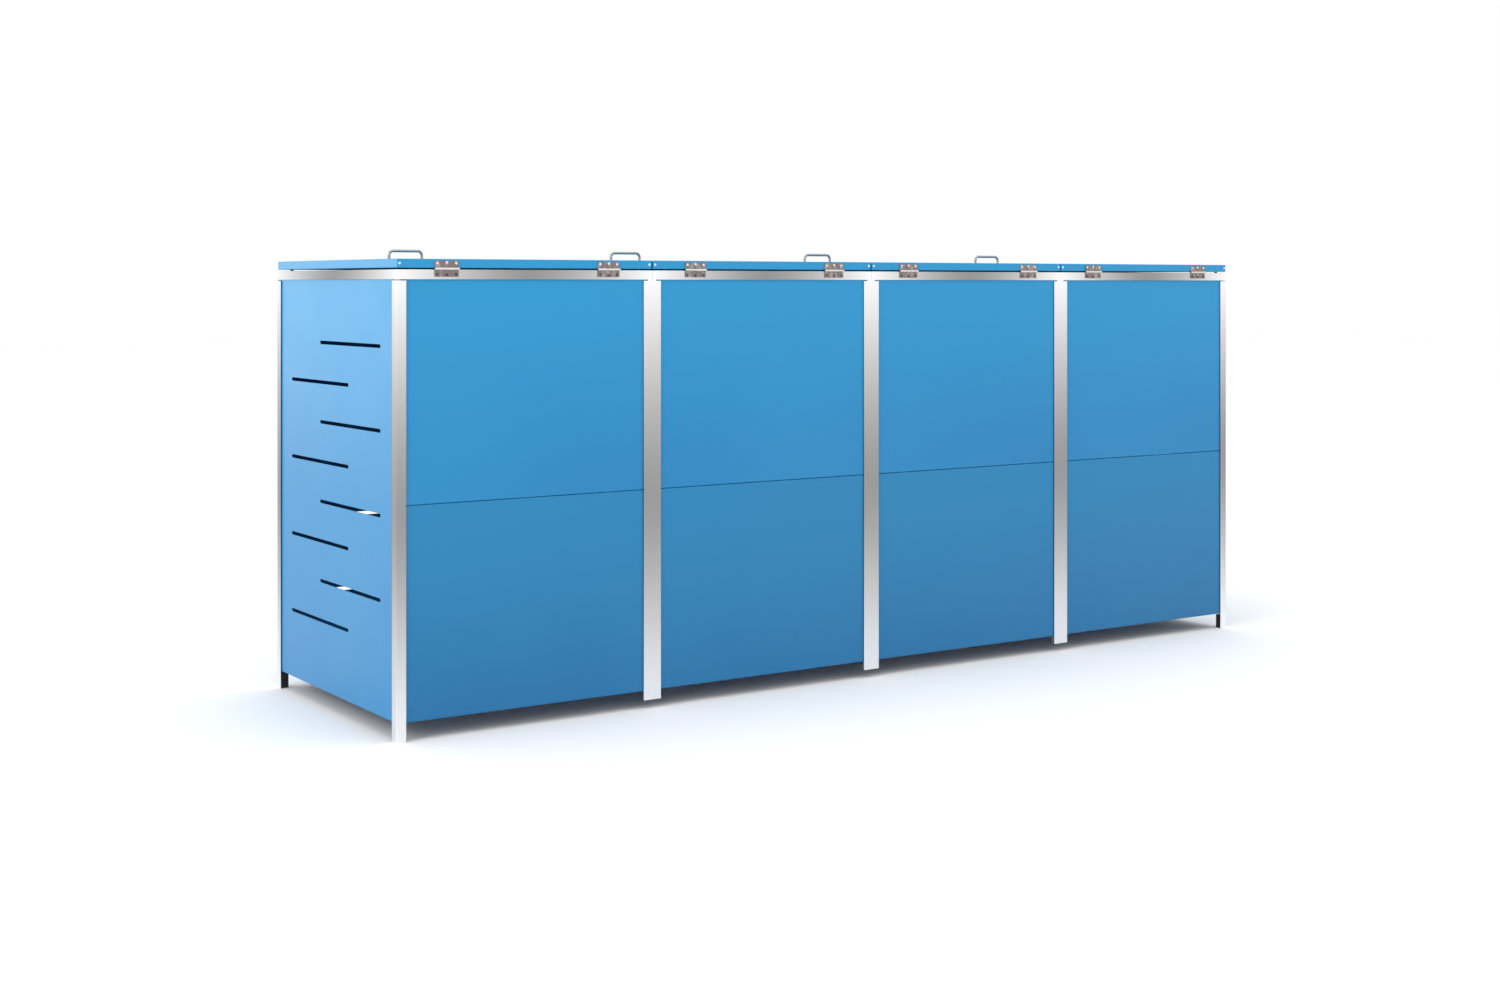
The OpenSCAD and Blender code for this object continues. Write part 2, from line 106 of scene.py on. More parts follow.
class Graph:
    """A material's node tree with short calls for adding and joining nodes."""

    def __init__(self, name: str) -> None:
        """Start an empty material with an output and a Principled shader.

        Args:
            name: The material's name.
        """
        self.material = bpy.data.materials.new(name)
        self.material.use_nodes = True
        self.tree = self.material.node_tree
        self.tree.nodes.clear()
        self.shader = self.add("ShaderNodeBsdfPrincipled")
        output = self.add("ShaderNodeOutputMaterial")
        self.join(self.shader.outputs["BSDF"], output.inputs["Surface"])
        self.place = self.add("ShaderNodeTexCoord").outputs["Object"]

    def add(self, kind: str, **settings: object) -> bpy.types.Node:
        """Add a node.

        Args:
            kind: The node's type name.
            **settings: Properties to set on it.

        Returns:
            The new node.
        """
        node = self.tree.nodes.new(kind)
        for key, value in settings.items():
            setattr(node, key, value)
        return node

    def join(self, source: bpy.types.NodeSocket, target: bpy.types.NodeSocket) -> None:
        """Link an output to an input."""
        self.tree.links.new(source, target)

    def math(self, kind: str, first: bpy.types.NodeSocket, second: float = 0.0) -> bpy.types.NodeSocket:
        """Work out one number from another.

        Args:
            kind: The Math node's operation.
            first: The socket of the first number.
            second: The second number.

        Returns:
            The result's socket.
        """
        node = self.add("ShaderNodeMath", operation=kind)
        self.join(first, node.inputs[0])
        node.inputs[1].default_value = second
        return node.outputs[0]

    def along(self, axis: Axis) -> bpy.types.NodeSocket:
        """The place along one axis.

        Args:
            axis: The axis.

        Returns:
            The socket of the place, in metres.
        """
        split = self.add("ShaderNodeSeparateXYZ")
        self.join(self.place, split.inputs[0])
        return split.outputs[axis.value]

    def noise(self, scales: tuple[float, float, float], detail: float = 2.0) -> bpy.types.NodeSocket:
        """Noise with its own scale along each axis.

        Args:
            scales: Waves per metre along X, Y and Z.
            detail: The noise's detail.

        Returns:
            The socket of the noise, from 0 to 1.
        """
        stretch = self.add("ShaderNodeMapping")
        stretch.inputs["Scale"].default_value = scales
        self.join(self.place, stretch.inputs["Vector"])
        node = self.add("ShaderNodeTexNoise")
        node.inputs["Scale"].default_value = 1.0
        node.inputs["Detail"].default_value = detail
        self.join(stretch.outputs[0], node.inputs["Vector"])
        return node.outputs["Fac"]

    def even_noise(self, waves: float, detail: float = 2.0) -> bpy.types.NodeSocket:
        """Noise with the same scale along every axis."""
        return self.noise((waves, waves, waves), detail)

    def span(self, value: bpy.types.NodeSocket, start: tuple[float, float],
             end: tuple[float, float]) -> bpy.types.NodeSocket:
        """Map a number from one span to another, clamped.

        Args:
            value: The number's socket.
            start: The span it comes from.
            end: The span it goes to.

        Returns:
            The mapped number's socket.
        """
        node = self.add("ShaderNodeMapRange", interpolation_type="SMOOTHSTEP")
        self.join(value, node.inputs["Value"])
        for key, number in zip(("From Min", "From Max", "To Min", "To Max"), (*start, *end)):
            node.inputs[key].default_value = number
        return node.outputs["Result"]

    def blend(self, share: bpy.types.NodeSocket, low: Colour | bpy.types.NodeSocket,
              high: Colour | bpy.types.NodeSocket) -> bpy.types.NodeSocket:
        """Mix two colours.

        Args:
            share: The socket of the second colour's share.
            low: The first colour, or its socket.
            high: The second colour, or its socket.

        Returns:
            The mixed colour's socket.
        """
        node = self.add("ShaderNodeMix", data_type="RGBA")
        self.join(share, node.inputs[0])
        for socket, colour in ((node.inputs[6], low), (node.inputs[7], high)):
            if isinstance(colour, tuple):
                socket.default_value = (*colour, 1.0)
            else:
                self.join(colour, socket)
        return node.outputs[2]

    def relief(self, height: bpy.types.NodeSocket, depth: float) -> None:
        """Give the surface a fine relief.

        Args:
            height: The socket of the relief, from 0 to 1.
            depth: Its depth in metres.
        """
        node = self.add("ShaderNodeBump")
        node.inputs["Strength"].default_value = 1.0
        node.inputs["Distance"].default_value = depth
        self.join(height, node.inputs["Height"])
        self.join(node.outputs[0], self.shader.inputs["Normal"])


@dataclass(frozen=True)
class PowderCoat:
    """Satin powder coat with a fine orange-peel relief, a slow random change of tone, and painted shade:
    lighter at the top, darker towards the foot.
    """

    name: str
    top: Colour
    foot: Colour
    heights: tuple[float, float]
    roughness: tuple[float, float] = (0.33, 0.36)
    rough_waves: float = 9.0
    cloud: float = 0.3
    cloud_waves: tuple[float, float, float] = (1.6, 1.6, 1.1)
    cloud_span: tuple[float, float] = (0.35, 0.65)
    cloud_share: float = 0.95
    cloud_lift: float = 0.006
    specular: float = 0.42
    peel_waves: float = 380.0
    peel_depth: float = 0.012 * MM

    def make(self) -> bpy.types.Material:
        """Build the material.

        Returns:
            The material.
        """
        graph = Graph(self.name)
        # Painted shade: the coat darkens from its top colour to its foot colour, as under light from above.
        fade = graph.span(graph.along(Axis.Z), self.heights, (0.0, 1.0))
        tone = graph.blend(fade, self.foot, self.top)
        cloud = graph.span(graph.noise(self.cloud_waves), self.cloud_span, (0.0, self.cloud))
        clouded = tuple(self.cloud_share * part + self.cloud_lift for part in self.top)
        graph.join(graph.blend(cloud, tone, clouded), graph.shader.inputs["Base Color"])
        rough = graph.span(graph.even_noise(self.rough_waves, detail=4.0), NOISE_MIDDLE, self.roughness)
        graph.join(rough, graph.shader.inputs["Roughness"])
        graph.shader.inputs["Specular IOR Level"].default_value = self.specular
        graph.relief(graph.even_noise(self.peel_waves), self.peel_depth)
        return graph.material


@dataclass(frozen=True)
class PaintedLightBand:
    """A soft band of painted light, a painted reflection on steel or a painted highlight on hinges: where
    its middle lies and how far it fades out.
    """

    axis: Axis
    middle: float
    reach: float
    repeats: bool = False
    curve: float = 1.5

    def share(self, graph: Graph) -> bpy.types.NodeSocket:
        """The share of the tone beside the band: 0 in its middle and 1 at its reach.

        Args:
            graph: The material's node tree.

        Returns:
            The share's socket.
        """
        off = graph.math("SUBTRACT", graph.along(self.axis), self.middle)
        if self.repeats:
            laps = graph.math("FRACT", graph.math("DIVIDE", off, 2 * self.reach))
            off = graph.math("MULTIPLY", graph.math("SUBTRACT", laps, 0.5), 2 * self.reach)
        away = graph.math("DIVIDE", graph.math("ABSOLUTE", off), self.reach)
        return graph.math("POWER", graph.math("MINIMUM", away, 1.0), self.curve)


@dataclass(frozen=True)
class BrushedSteel:
    """Brushed stainless steel, its grain along one axis, with a painted reflection: a soft darker band
    between bright ends.
    """

    name: str
    grain: Axis
    band: PaintedLightBand
    bright: Colour = (1.0, 1.0, 1.0)
    dim: Colour = (0.305, 0.305, 0.305)
    roughness: tuple[float, float] = (0.26, 0.4)
    grain_waves: float = 1500.0
    grain_length: float = 6.0
    grain_depth: float = 0.006 * MM
    streak: float = 0.1
    streak_colour: Colour = (0.4, 0.395, 0.39)

    def make(self) -> bpy.types.Material:
        """Build the material.

        Returns:
            The material.
        """
        graph = Graph(self.name)
        waves = [self.grain_waves] * 3
        waves[self.grain.value] = self.grain_length
        streaks = graph.noise(tuple(waves), detail=3.0)
        # Painted reflection: dim in the band's middle and bright towards its reach, standing in for
        # mirrored surroundings.
        tone = graph.blend(self.band.share(graph), self.dim, self.bright)
        share = graph.span(streaks, NOISE_MIDDLE, (0.0, self.streak))
        graph.join(graph.blend(share, tone, self.streak_colour), graph.shader.inputs["Base Color"])
        graph.join(graph.span(streaks, NOISE_MIDDLE, self.roughness), graph.shader.inputs["Roughness"])
        graph.shader.inputs["Metallic"].default_value = 1.0
        graph.relief(streaks, self.grain_depth)
        return graph.material


@dataclass(frozen=True)
class SatinMetal:
    """Bare metal with faint scuffs and, on hinges, a painted highlight: a bright band along the knuckles.
    """

    name: str
    colour: Colour
    scuffed: Colour
    roughness: tuple[float, float] = (0.22, 0.4)
    painted_highlight_band: PaintedLightBand | None = None
    painted_highlight_colour: Colour = (0.78, 0.73, 0.71)
    scuff_waves: tuple[float, float, float] = (160.0, 160.0, 64.0)
    scuff_span: tuple[float, float] = (0.4, 0.7)
    scuff_depth: float = 0.01 * MM

    def make(self) -> bpy.types.Material:
        """Build the material.

        Returns:
            The material.
        """
        graph = Graph(self.name)
        scuffs = graph.noise(self.scuff_waves, detail=5.0)
        tone = graph.blend(graph.span(scuffs, self.scuff_span, (0.0, 1.0)), self.colour, self.scuffed)
        if self.painted_highlight_band:
            # Painted highlight: a bright band along the hinge knuckles.
            tone = graph.blend(self.painted_highlight_band.share(graph), self.painted_highlight_colour, tone)
        graph.join(tone, graph.shader.inputs["Base Color"])
        graph.join(graph.span(scuffs, NOISE_MIDDLE, self.roughness), graph.shader.inputs["Roughness"])
        graph.shader.inputs["Metallic"].default_value = 1.0
        graph.relief(scuffs, self.scuff_depth)
        return graph.material


@dataclass(frozen=True)
class MouldedPlastic:
    """Matt moulded plastic or rubber with a grained skin."""

    name: str
    colour: Colour
    dusty: Colour
    roughness: tuple[float, float] = (0.5, 0.7)
    dust: float = 0.6
    dust_waves: float = 60.0
    dust_span: tuple[float, float] = (0.45, 0.75)
    skin_waves: float = 900.0
    skin_depth: float = 0.03 * MM

    def make(self) -> bpy.types.Material:
        """Build the material.

        Returns:
            The material.
        """
        graph = Graph(self.name)
        specks = graph.even_noise(self.dust_waves, detail=5.0)
        dust = graph.span(specks, self.dust_span, (0.0, self.dust))
        graph.join(graph.blend(dust, self.colour, self.dusty), graph.shader.inputs["Base Color"])
        graph.join(graph.span(dust, (0.0, self.dust), self.roughness), graph.shader.inputs["Roughness"])
        graph.relief(graph.even_noise(self.skin_waves), self.skin_depth)
        return graph.material


class Finish(Enum):
    """The store's finishes: each with the record's slot that it stands for."""

    BLUE = "blue_paint"
    # The same blue paint as a darker copy: painted shade on the lower rear panels.
    BLUE_SHADED_LOWER = "blue_paint_lower"
    STEEL_UPRIGHT = "stainless"
    STEEL_LONG_RAIL = "stainless:x"
    STEEL_CROSS_RAIL = "stainless:y"
    HANDLE = "handle_steel"
    HINGE = "hinge_steel"
    LOCK = "lock_metal"
    ZINC = "zinc_steel"
    DARK_SCREW = "zinc_steel:dark"
    RIVET = "zinc_steel:rivet"
    PLASTIC = "black_plastic"
    RUBBER = "rubber"

    @property
    def slot(self) -> str:
        """The record's material slot."""
        return self.value.split(":")[0]

    @property
    def is_paint(self) -> bool:
        """Whether it is one of the powder coats."""
        return self in (Finish.BLUE, Finish.BLUE_SHADED_LOWER)


class FinishBook:
    """Makes each finish once and hands it out."""

    def __init__(self, bay_length: float, depth: tuple[float, float], height: float,
                 knuckle: float) -> None:
        """Describe all finishes.

        Args:
            bay_length: The length of a bay, which the long rails' painted reflection follows.
            depth: The lowest and highest Y of the lids, which the end rails' painted reflection follows.
            height: The height of the store, which the posts' painted reflection follows.
            knuckle: The height of the lid hinges' pins, where a painted highlight brightens their knuckles.
        """
        middle, reach = sum(depth) / 2, (depth[1] - depth[0]) / 2
        # Painted reflections on the steel: posts dim about mid-height, long rails dim in each bay's middle,
        # end rails dim in the middle of their depth.
        dim_reflection_height, dim_reflection_reach = 0.47 * height, 0.49 * height
        upright = PaintedLightBand(Axis.Z, dim_reflection_height, dim_reflection_reach, curve=1.6)
        along_bays = PaintedLightBand(Axis.X, 0.0, bay_length / 2, repeats=True)
        across = PaintedLightBand(Axis.Y, middle, reach)
        # Painted highlight along the lid hinges' knuckles.
        painted_highlight_band = PaintedLightBand(Axis.Z, knuckle, ButtHinges.painted_highlight_reach, curve=3.0)
        self.recipes = {
            # Both coats darken towards the foot as painted shade.
            Finish.BLUE: PowderCoat("sky_blue_coat", (0.009, 0.262, 0.533), (0.005, 0.196, 0.447),
                                    (0.5, 1.1)),
            # Lower rear panels: a darker copy of the same blue, painted shade.
            Finish.BLUE_SHADED_LOWER: PowderCoat("shaded_lower_blue_coat", (0.005, 0.195, 0.42), (0.003, 0.143, 0.342),
                                          (0.0, 0.55)),
            # Each steel finish carries its own painted reflection band.
            Finish.STEEL_UPRIGHT: BrushedSteel("upright_steel", Axis.Z, upright),
            Finish.STEEL_LONG_RAIL: BrushedSteel("long_rail_steel", Axis.X, along_bays),
            Finish.STEEL_CROSS_RAIL: BrushedSteel("cross_rail_steel", Axis.Y, across),
            Finish.HANDLE: SatinMetal("polished_rod", (0.34, 0.36, 0.38), (0.45, 0.46, 0.47), (0.12, 0.25)),
            Finish.HINGE: SatinMetal("hinge_steel", (0.23, 0.19, 0.185), (0.42, 0.37, 0.36),
                                     (0.3, 0.5), painted_highlight_band),
            Finish.LOCK: SatinMetal("lock_chrome", (0.72, 0.72, 0.73), (0.62, 0.62, 0.63), (0.08, 0.2)),
            Finish.ZINC: SatinMetal("bright_zinc", (0.5, 0.5, 0.51), (0.4, 0.41, 0.42), (0.25, 0.45)),
            Finish.DARK_SCREW: SatinMetal("dark_screw_steel", (0.1, 0.085, 0.08), (0.2, 0.18, 0.17)),
            Finish.RIVET: SatinMetal("rivet_steel", (0.85, 0.86, 0.87), (0.7, 0.7, 0.71), (0.15, 0.3)),
            # Near-black feet: real plastic feet, their dark colour also standing in for the shade inside
            # the corner angles.
            Finish.PLASTIC: MouldedPlastic("foot_plastic_and_painted_shade", (0.008, 0.008, 0.009), (0.03, 0.028, 0.026)),
            Finish.RUBBER: MouldedPlastic("buffer_rubber", (0.012, 0.012, 0.012), (0.03, 0.03, 0.03)),
        }
        self.made: dict[Finish, bpy.types.Material] = {}

    def __getitem__(self, finish: Finish) -> bpy.types.Material:
        """The finish's material, made at the first call for it.

        Args:
            finish: The finish.

        Returns:
            Its material.
        """
        if finish not in self.made:
            self.made[finish] = self.recipes[finish].make()
        return self.made[finish]


# ------------------------------------------------------------------ pieces


@dataclass
class Workshop:
    """Turns finished meshes into pieces that ride on the frame's bodies."""

    nodes: dict[str, bpy.types.Object]
    finishes: FinishBook
    painted: bpy.types.Collection
    count: int = 0
    shade_angle: float = math.radians(50)
    merge_distance: float = 0.002 * MM
    flat_angle: float = math.radians(0.5)

    def place(self, name: str, mesh: bpy.types.Mesh, finish: Finish, body: str,
              replaced: tuple[str, ...] = ()) -> None:
        """Make a piece from its mesh.

        Args:
            name: The piece's name.
            mesh: Its mesh, in the row frame.
            finish: Its finish.
            body: The body that it moves with.
            replaced: The frame's nodes that it stands for.
        """
        mesh.name = name
        piece = bpy.data.objects.new(name, mesh)
        bpy.context.scene.collection.objects.link(piece)
        mesh.materials.clear()
        mesh.materials.append(self.finishes[finish])
        mesh.polygons.foreach_set("use_smooth", [True] * len(mesh.polygons))
        normals = piece.modifiers.new("even_normals", "WEIGHTED_NORMAL")
        normals.keep_sharp = True
        mesh.set_sharp_from_angle(angle=self.shade_angle)
        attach(piece, body)
        finish.slot
        if replaced:
            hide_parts(*replaced)
        if finish.is_paint:
            self.painted.objects.link(piece)
        self.count += 1
        LOG.info("%s: %d faces, on %s", name, len(mesh.polygons), body)

    def dress(self, node: str, finish: Finish) -> None:
        """Give its finish to a node of the frame that keeps its shape.

        Args:
            node: The node's name.
            finish: Its finish.
        """
        mesh = self.nodes[node].data
        mesh.materials.clear()
        mesh.materials.append(self.finishes[finish])
        LOG.info("%s: kept, in %s", node, finish.name)

    def copy(self, node: str) -> bmesh.types.BMesh:
        """A merged copy of a node's mesh, its flat faces joined up.

        Args:
            node: The node's name.

        Returns:
            The copy.
        """
        bm = bmesh.new()
        bm.from_mesh(self.nodes[node].data)
        bmesh.ops.remove_doubles(bm, verts=bm.verts, dist=self.merge_distance)
        bmesh.ops.dissolve_limit(bm, angle_limit=self.flat_angle, verts=bm.verts, edges=bm.edges)
        return bm


def mesh_of(bm: bmesh.types.BMesh) -> bpy.types.Mesh:
    """Write a bmesh to a new mesh, its normals facing out, and free it.

    Args:
        bm: The bmesh.

    Returns:
        The new mesh.
    """
    bmesh.ops.recalc_face_normals(bm, faces=bm.faces)
    mesh = bpy.data.meshes.new("mesh")
    bm.to_mesh(mesh)
    bm.free()
    return mesh


def round_edges(bm: bmesh.types.BMesh, edges: list[bmesh.types.BMEdge], radius: float,
                segments: int) -> None:
    """Round edges with a bevel.

    Args:
        bm: The mesh that holds them.
        edges: The edges.
        radius: The bevel's width, in metres.
        segments: Its number of segments.
    """
    if edges:
        bmesh.ops.bevel(bm, geom=edges, offset=radius, offset_type="OFFSET", affect="EDGES",
                        segments=segments, profile=0.5, material=-1, clamp_overlap=True)


def is_sharp(edge: bmesh.types.BMEdge, angle: float = SHARP_ANGLE) -> bool:
    """Whether an edge's two faces meet at more than an angle."""
    return len(edge.link_faces) == 2 and edge.calc_face_angle() > angle


def sharp_edges(bm: bmesh.types.BMesh) -> list[bmesh.types.BMEdge]:
    """The mesh's sharp edges."""
    return [edge for edge in bm.edges if is_sharp(edge)]


def close_base(bm: bmesh.types.BMesh, ring: list[bmesh.types.BMVert]) -> None:
    """Close the underside of a fastener's head.

    Args:
        bm: The mesh that holds the head.
        ring: The vertices of its open rim.
    """
    kept = set(ring)
    rim = {edge for vert in ring for edge in vert.link_edges if kept.issuperset(edge.verts)}
    bmesh.ops.contextual_create(bm, geom=list(rim))


def cube_between(bm: bmesh.types.BMesh, low: Vector, high: Vector) -> list[bmesh.types.BMVert]:
    """Add a box between two corners.

    Args:
        bm: The mesh that it is added to.
        low: The lowest corner.
        high: The highest corner.

    Returns:
        The box's vertices.
    """
    verts = bmesh.ops.create_cube(bm, size=1.0)["verts"]
    size = high - low
    bmesh.ops.scale(bm, vec=size, verts=verts)
    bmesh.ops.translate(bm, vec=(low + high) / 2, verts=verts)
    return verts


@dataclass(frozen=True)
class RoundedSection:
    """A bar, angle, tube or casting of the frame with its edges rounded."""

    bend: float
    edge: float
    thin: float
    sliver: float = 0.005 * MM

    def make(self, bm: bmesh.types.BMesh) -> bpy.types.Mesh:
        """Round the folds and soften the cut edges.

        Args:
            bm: A merged copy of the node's mesh.

        Returns:
            The finished mesh.
        """
        bm.normal_update()
        folds = [edge for edge in bm.edges if self.is_fold(edge)]
        round_edges(bm, folds, self.bend, segments=4)
        bm.normal_update()
        round_edges(bm, sharp_edges(bm), self.edge, segments=2)
        bmesh.ops.remove_doubles(bm, verts=bm.verts, dist=self.sliver)
        bmesh.ops.dissolve_degenerate(bm, dist=self.sliver, edges=bm.edges)
        return mesh_of(bm)

    def is_fold(self, edge: bmesh.types.BMEdge) -> bool:
        """Whether an edge is the outside of a fold between two wide faces.

        Args:
            edge: The edge.

        Returns:
            True if it is such a fold.
        """
        if not is_sharp(edge) or not edge.is_convex:
            return False
        return all(self.width(face) > 2 * self.thin for face in edge.link_faces)

    @staticmethod
    def width(face: bmesh.types.BMFace) -> float:
        """A face's width: its area over its longest edge."""
        return face.calc_area() / max(edge.calc_length() for edge in face.edges)


@dataclass
class FoldedTray:
    """A sheet with folded edges: a panel, a door or a lid."""

    low: Vector
    high: Vector
    outward: Side
    thickness: float
    bend: float
    lip: float = 0.0
    slots: list[tuple[Vector, Vector]] = field(default_factory=list)
    fold_angle: float = math.radians(45)
    # Just under half a slot's height, so that the rounded corners don't meet.
    end_share: float = 0.499

    def make(self) -> bpy.types.Mesh:
        """Fold the sheet and cut its slots.

        Returns:
            The finished mesh.
        """
        bm = bmesh.new()
        cube_between(bm, self.low, self.high)
        back = min(bm.faces, key=lambda face: face.normal.dot(self.outward.vector))
        bmesh.ops.delete(bm, geom=[back], context="FACES_ONLY")
        if self.lip:
            self.turn_in_lip(bm)
        folds = [edge for edge in bm.edges if is_sharp(edge, self.fold_angle)]
        round_edges(bm, folds, self.bend, segments=3)
        bmesh.ops.recalc_face_normals(bm, faces=bm.faces)
        centre = (self.low + self.high) / 2
        main = max(bm.faces, key=lambda face: face.calc_area())
        if main.normal.dot(main.calc_center_median() - centre) < 0:
            bmesh.ops.reverse_faces(bm, faces=bm.faces)
        bmesh.ops.solidify(bm, geom=bm.faces, thickness=self.thickness)
        mesh = mesh_of(bm)
        return self.cut(mesh) if self.slots else mesh

    def turn_in_lip(self, bm: bmesh.types.BMesh) -> None:
        """Fold a lip inwards all round the free edge.

        Args:
            bm: The tray's mesh, open at its back.
        """
        rim = [edge for edge in bm.edges if edge.is_boundary]
        made = bmesh.ops.extrude_edge_only(bm, edges=rim)["geom"]
        verts = [item for item in made if isinstance(item, bmesh.types.BMVert)]
        size = self.high - self.low
        centre = (self.low + self.high) / 2
        flat = [1.0 - 2.0 * self.lip / side for side in size]
        flat[self.outward.axis.value] = 1.0
        bmesh.ops.scale(bm, vec=flat, verts=verts, space=Matrix.Translation(-centre))

    def cut(self, mesh: bpy.types.Mesh) -> bpy.types.Mesh:
        """Cut the slots, which have round ends.

        Args:
            mesh: The folded sheet.

        Returns:
            The slotted sheet.
        """
        bm = bmesh.new()
        through = self.outward.axis.value
        for low, high in self.slots:
            verts = cube_between(bm, low, high)
            edges = {edge for vert in verts for edge in vert.link_edges}
            ends = [edge for edge in edges
                    if abs((edge.verts[0].co - edge.verts[1].co)[through]) > 1e-6]
            round_edges(bm, ends, self.end_share * (high.z - low.z), segments=6)
        cutter = bpy.data.objects.new("slot_cutter", mesh_of(bm))
        sheet = bpy.data.objects.new("sheet", mesh)
        for item in (cutter, sheet):
            bpy.context.scene.collection.objects.link(item)
        boolean = sheet.modifiers.new("slots", "BOOLEAN")
        boolean.operation = "DIFFERENCE"
        boolean.solver = "EXACT"
        boolean.object = cutter
        bpy.context.view_layer.update()
        state = bpy.context.evaluated_depsgraph_get()
        result = bpy.data.meshes.new_from_object(sheet.evaluated_get(state))
        for item in (cutter, sheet):
            bpy.data.objects.remove(item)
        return result


@dataclass(frozen=True)
class SlotColumn:
    """A column of staggered ventilation slots in an upright sheet."""

    length: float
    margin: float
    lowest: float
    drop: float
    count: int = 8
    height: float = 9 * MM
    depth: float = 8 * MM

    def boxes(self, low: Vector, high: Vector, across: Axis, through: Axis,
              face: float, side: int) -> list[tuple[Vector, Vector]]:
        """The slots as boxes through the sheet.

        Args:
            low: The sheet's lowest corner.
            high: The sheet's highest corner.
            across: The axis along which a slot runs.
            through: The axis along which it is cut.
            face: The sheet's place along that axis.
            side: The side of the middle line that the lowest slot starts on.

        Returns:
            The lowest and highest corners of each slot's box.
        """
        half = Vector((0.0, 0.0, self.height / 2))
        half[across.value] = self.length / 2
        half[through.value] = self.depth
        centre = (low + high) / 2
        reach = (high - low)[across.value] / 2 - self.margin - self.length / 2
        pitch = (high.z - self.drop - self.lowest) / (self.count - 1)
        found = []
        for step in range(self.count):
            middle = centre.copy()
            middle[through.value] = face
            middle[across.value] += (side if step % 2 == 0 else -side) * reach
            middle.z = self.lowest + step * pitch
            found.append((middle - half, middle + half))
        return found


# ----------------------------------------------------------- sub-assemblies


@dataclass
class SteelFrame:
    """Posts, cover strips, rails, cleats and feet."""

    shop: Workshop
    section: RoundedSection = RoundedSection(2.2 * MM, 0.3 * MM, 1.6 * MM)
    casting: RoundedSection = RoundedSection(1.2 * MM, 0.4 * MM, 1.6 * MM)

    def build(self) -> None:
        """Make every piece of the frame."""
        uprights = [f"corner_post_{y}_{x}" for y in ("rear", "front") for x in ("left", "right")]
        uprights += [f"{y}_{part}" for part in ("mid_posts", "cover_strips") for y in ("rear", "front")]
        for node in uprights:
            self.form(node, self.section, Finish.STEEL_UPRIGHT)
        for node in ("rear_top_rails", "front_top_rails"):
            self.form(node, self.section, Finish.STEEL_LONG_RAIL)
        self.form("cross_top_rails", self.section, Finish.STEEL_CROSS_RAIL)
        # The feet's near-black colour is partly their plastic and partly painted shade inside the corner
        # angles.
        self.form("post_feet", self.casting, Finish.PLASTIC)
        self.form("lid_buffers", self.casting, Finish.RUBBER)
        self.form("corner_cleats", self.casting, Finish.ZINC)
        self.form("lock_keepers", self.casting, Finish.ZINC)
        self.shop.dress("seam_bolts", Finish.ZINC)

    def form(self, node: str, section: RoundedSection, finish: Finish) -> None:
        """Make one node's piece with rounded edges."""
        mesh = section.make(self.shop.copy(node))
        self.shop.place(f"{node}_formed", mesh, finish, FRAME_BODY, (node,))


@dataclass
class Panels:
    """The fixed sheet panels."""

    shop: Workshop
    sheet: float = 1 * MM
    bend: float = 2 * MM
    slots: SlotColumn = SlotColumn(380 * MM, 86.5 * MM, 219 * MM, 174 * MM)

    def build(self) -> None:
        """Make the rear and side panels."""
        for bay in BAYS:
            self.fold(f"rear_upper_panel_{bay}", Side.REAR, Finish.BLUE)
            # The lower panels get the darker copy of the blue: painted shade.
            self.fold(f"rear_lower_panel_{bay}", Side.REAR, Finish.BLUE_SHADED_LOWER)
        for node, side in (("side_panel_left", Side.LEFT), ("side_panel_right", Side.RIGHT)):
            low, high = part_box(node)
            face = high.x if side is Side.RIGHT else low.x
            self.fold(node, side, Finish.BLUE, self.slots.boxes(low, high, Axis.Y, Axis.X, face, -1))

    def fold(self, node: str, side: Side, finish: Finish,
             slots: list[tuple[Vector, Vector]] | None = None) -> None:
        """Fold one panel in the place of its node.

        Args:
            node: The node's name.
            side: The side of the store that it closes.
            finish: Its finish.
            slots: The boxes of its slots, if it has any.
        """
        low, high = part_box(node)
        mesh = FoldedTray(low, high, side, self.sheet, self.bend, slots=slots or []).make()
        self.shop.place(f"{node}_folded", mesh, finish, FRAME_BODY, (node,))


